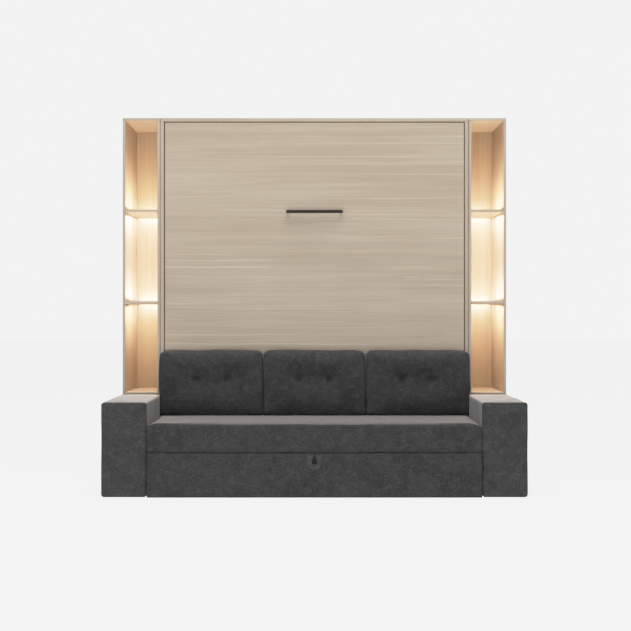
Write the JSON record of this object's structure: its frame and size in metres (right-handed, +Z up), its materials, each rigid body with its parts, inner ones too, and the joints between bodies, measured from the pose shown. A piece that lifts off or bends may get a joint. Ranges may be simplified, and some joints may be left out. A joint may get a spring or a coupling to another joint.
{
  "type": "murphy wall bed",
  "caption": "Wall bed that folds down over a fixed upholstered sofa, in a wood-grain cabinet with a lit open shelf tower on each side and a roll-out storage box under the seat.",
  "frame": {"origin": "on the floor under the middle of the whole piece", "axes": "+Z up, +X to the right as seen from the sofa side, +Y back to the wall"},
  "size_m": [2.35, 1.145, 2.2],
  "materials": {
    "oak_board": "matt wood-grain board",
    "back_board": "matt wood-grain back board",
    "birch_wood": "plain birch",
    "charcoal_fabric": "brushed velour",
    "mattress_ticking": "quilted ticking",
    "webbing": "woven belt",
    "zinc_steel": "zinc plated",
    "black_steel": "satin black",
    "chrome_rod": "polished",
    "bronze_handle": "satin dark brown",
    "white_plastic": "moulded",
    "light_diffuser": "opal",
    "wheel_rubber": "moulded"
  },
  "bodies": {
    "cabinet": {"cabinet_side_left": "oak_board", "cabinet_side_right": "oak_board", "cabinet_top": "oak_board", "tower_inner_side_left": "oak_board", "tower_inner_side_right": "oak_board", "tower_outer_side_left": "oak_board", "tower_outer_side_right": "oak_board", "tower_top_left": "oak_board", "tower_top_right": "oak_board", "tower_bottom_left": "oak_board", "tower_bottom_right": "oak_board", "shelf_lower_left": "oak_board", "shelf_lower_right": "oak_board", "shelf_upper_left": "oak_board", "shelf_upper_right": "oak_board", "cabinet_back": "back_board", "wall_rail": "back_board", "tower_back_left": "back_board", "tower_back_right": "back_board", "seat_deck": "birch_wood", "seat_rear_rail": "birch_wood", "sofa_arm_left": "charcoal_fabric", "sofa_arm_right": "charcoal_fabric", "seat_cushion": "charcoal_fabric", "hinge_plate_left": "zinc_steel", "hinge_plate_right": "zinc_steel", "light_transformer": "white_plastic", "shelf_light_lower_left": "light_diffuser", "shelf_light_lower_right": "light_diffuser", "shelf_light_upper_left": "light_diffuser", "shelf_light_upper_right": "light_diffuser"},
    "bed": {"bed_front_panel": "oak_board", "bed_side_board_left": "birch_wood", "bed_side_board_right": "birch_wood", "bed_head_board": "birch_wood", "bed_foot_board": "birch_wood", "bed_centre_beam": "birch_wood", "slat_base": "birch_wood", "mattress": "mattress_ticking", "mattress_strap": "webbing", "bed_pivot_left": "zinc_steel", "bed_pivot_right": "zinc_steel", "flap_hinge_left": "zinc_steel", "flap_hinge_right": "zinc_steel"},
    "leg_flap": {"leg_flap": "oak_board", "pull_handle": "bronze_handle"},
    "back_cushion_left": {"back_cushion_left": "charcoal_fabric"},
    "back_cushion_centre": {"back_cushion_centre": "charcoal_fabric"},
    "back_cushion_right": {"back_cushion_right": "charcoal_fabric"},
    "gas_cylinder_left": {"gas_cylinder_left": "black_steel"},
    "gas_cylinder_right": {"gas_cylinder_right": "black_steel"},
    "gas_rod_left": {"gas_rod_left": "chrome_rod"},
    "gas_rod_right": {"gas_rod_right": "chrome_rod"},
    "storage_box": {"storage_box_front": "charcoal_fabric", "storage_box": "birch_wood", "pull_strap": "charcoal_fabric"},
    "box_wheel_front_left": {"box_wheel_front_left": "wheel_rubber"},
    "box_wheel_front_right": {"box_wheel_front_right": "wheel_rubber"},
    "box_wheel_rear_left": {"box_wheel_rear_left": "wheel_rubber"},
    "box_wheel_rear_right": {"box_wheel_rear_right": "wheel_rubber"}
  },
  "joints": [
    {"name": "bed_fold", "type": "hinge", "parent": "cabinet", "child": "bed", "pos_m": [0, 0.1225, 0.585], "axis": [1, 0, 0], "range_deg": [0, 90]},
    {"name": "leg_flap_fold", "type": "hinge", "parent": "bed", "child": "leg_flap", "pos_m": [0, 0.1015, 2.161], "axis": [1, 0, 0], "range_deg": [-90, 0]},
    {"name": "back_cushion_left_fold", "type": "hinge", "parent": "cabinet", "child": "back_cushion_left", "pos_m": [0, -0.0475, 0.402], "axis": [1, 0, 0], "range_deg": [0, 90]},
    {"name": "back_cushion_centre_fold", "type": "hinge", "parent": "cabinet", "child": "back_cushion_centre", "pos_m": [0, -0.0475, 0.402], "axis": [1, 0, 0], "range_deg": [0, 90]},
    {"name": "back_cushion_right_fold", "type": "hinge", "parent": "cabinet", "child": "back_cushion_right", "pos_m": [0, -0.0475, 0.402], "axis": [1, 0, 0], "range_deg": [0, 90]},
    {"name": "gas_cylinder_left_swing", "type": "hinge", "parent": "cabinet", "child": "gas_cylinder_left", "pos_m": [-0.872, 0.15241, 0.91364], "axis": [1, 0, 0], "range_deg": [0, 45]},
    {"name": "gas_rod_left_swing", "type": "hinge", "parent": "bed", "child": "gas_rod_left", "pos_m": [-0.872, 0.15241, 0.25636], "axis": [1, 0, 0], "range_deg": [-45, 0]},
    {"name": "gas_cylinder_right_swing", "type": "hinge", "parent": "cabinet", "child": "gas_cylinder_right", "pos_m": [0.872, 0.15241, 0.91364], "axis": [1, 0, 0], "range_deg": [0, 45]},
    {"name": "gas_rod_right_swing", "type": "hinge", "parent": "bed", "child": "gas_rod_right", "pos_m": [0.872, 0.15241, 0.25636], "axis": [1, 0, 0], "range_deg": [-45, 0]},
    {"name": "storage_slide", "type": "slide", "parent": "cabinet", "child": "storage_box", "axis": [0, -1, 0], "range_m": [0, 0.45]},
    {"name": "box_wheel_front_left_roll", "type": "hinge", "parent": "storage_box", "child": "box_wheel_front_left", "pos_m": [-0.82, -0.4525, 0.02], "axis": [1, 0, 0], "range_deg": [0, 1300]},
    {"name": "box_wheel_front_right_roll", "type": "hinge", "parent": "storage_box", "child": "box_wheel_front_right", "pos_m": [0.82, -0.4525, 0.02], "axis": [1, 0, 0], "range_deg": [0, 1300]},
    {"name": "box_wheel_rear_left_roll", "type": "hinge", "parent": "storage_box", "child": "box_wheel_rear_left", "pos_m": [-0.82, -0.0625, 0.02], "axis": [1, 0, 0], "range_deg": [0, 1300]},
    {"name": "box_wheel_rear_right_roll", "type": "hinge", "parent": "storage_box", "child": "box_wheel_rear_right", "pos_m": [0.82, -0.0625, 0.02], "axis": [1, 0, 0], "range_deg": [0, 1300]}
  ],
  "couplings": [
    {"joint": "leg_flap_fold", "follows": "bed_fold", "ratio": -1},
    {"joint": "back_cushion_left_fold", "follows": "bed_fold", "ratio": 1},
    {"joint": "back_cushion_centre_fold", "follows": "bed_fold", "ratio": 1},
    {"joint": "back_cushion_right_fold", "follows": "bed_fold", "ratio": 1},
    {"joint": "gas_cylinder_left_swing", "follows": "bed_fold", "ratio": 0.5},
    {"joint": "gas_rod_left_swing", "follows": "bed_fold", "ratio": -0.5},
    {"joint": "gas_cylinder_right_swing", "follows": "bed_fold", "ratio": 0.5},
    {"joint": "gas_rod_right_swing", "follows": "bed_fold", "ratio": -0.5},
    {"joint": "box_wheel_front_left_roll", "follows": "storage_slide", "rad_per_m": 50},
    {"joint": "box_wheel_front_right_roll", "follows": "storage_slide", "rad_per_m": 50},
    {"joint": "box_wheel_rear_left_roll", "follows": "storage_slide", "rad_per_m": 50},
    {"joint": "box_wheel_rear_right_roll", "follows": "storage_slide", "rad_per_m": 50}
  ]
}
